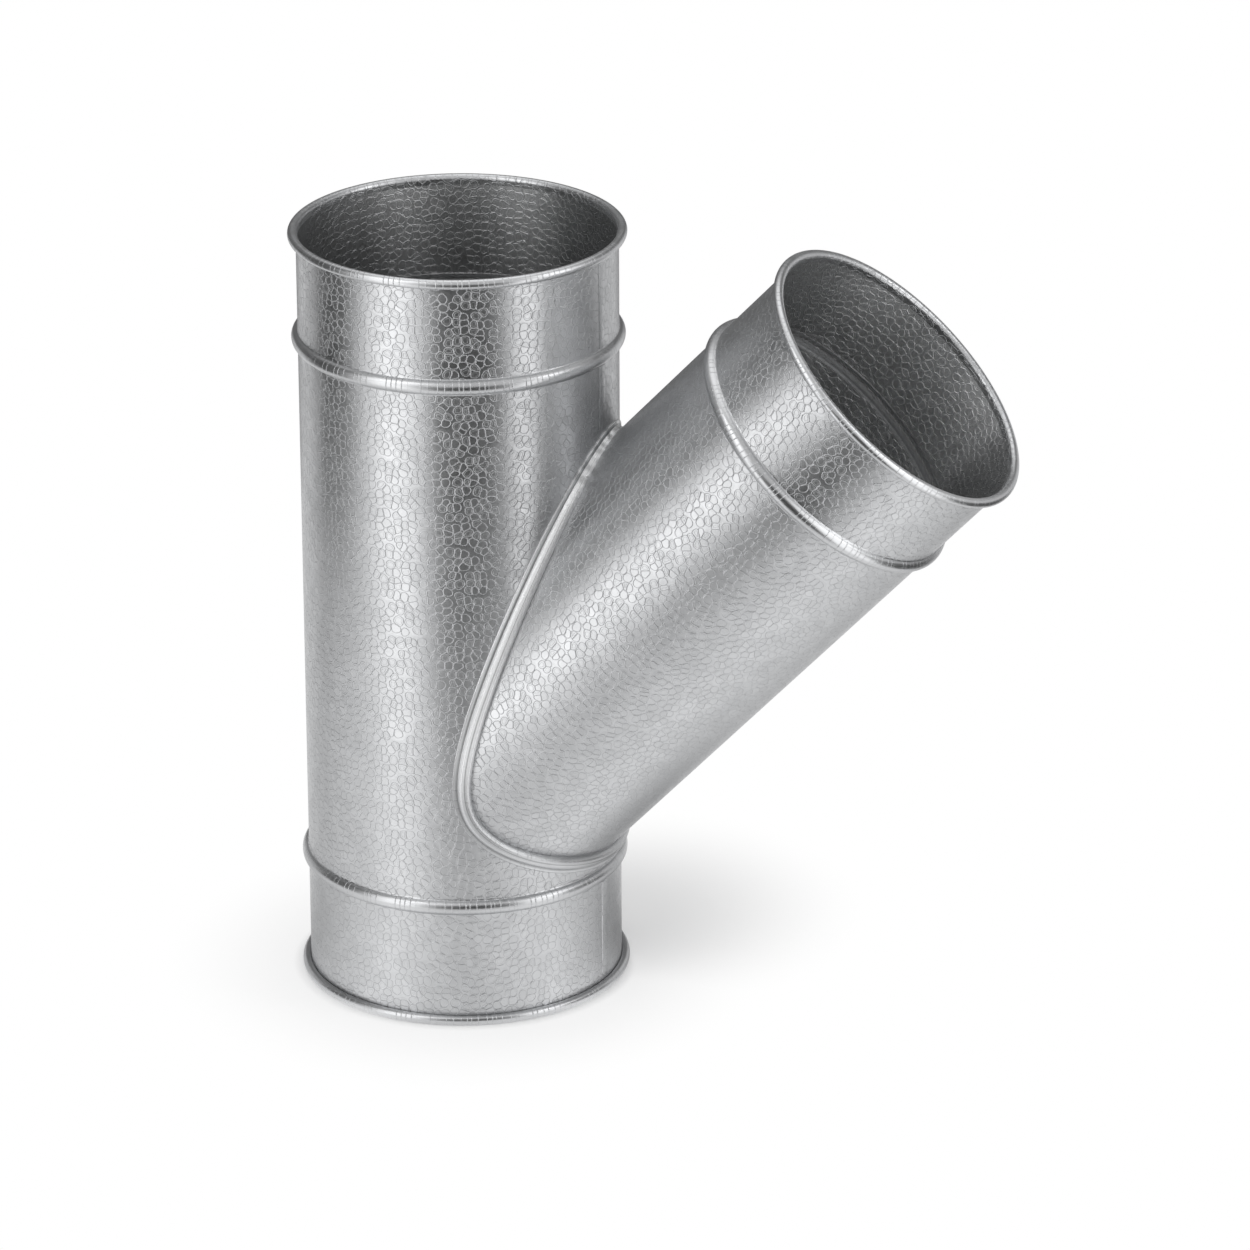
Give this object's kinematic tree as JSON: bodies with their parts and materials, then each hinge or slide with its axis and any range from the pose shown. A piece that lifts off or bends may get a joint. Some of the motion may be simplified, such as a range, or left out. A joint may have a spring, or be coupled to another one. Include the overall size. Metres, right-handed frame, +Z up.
{
  "type": "duct y branch",
  "caption": "Galvanised sheet duct fitting: a straight round tube with a slightly smaller tube branching upward from its side, with curled rims, rolled beads and a rolled saddle seam.",
  "frame": {"origin": "centre of the lower rim, on the plane that the fitting stands on", "axes": "+Z up along the straight tube; the branch leans towards +X; XZ is the plane of both axes"},
  "size_m": [0.3704, 0.1684, 0.3983],
  "materials": {
    "galvanised_run": "galvanised",
    "galvanised_branch": "galvanised"
  },
  "bodies": {
    "root": {"run_tube": "galvanised_run", "branch_tube": "galvanised_branch"}
  },
  "joints": []
}
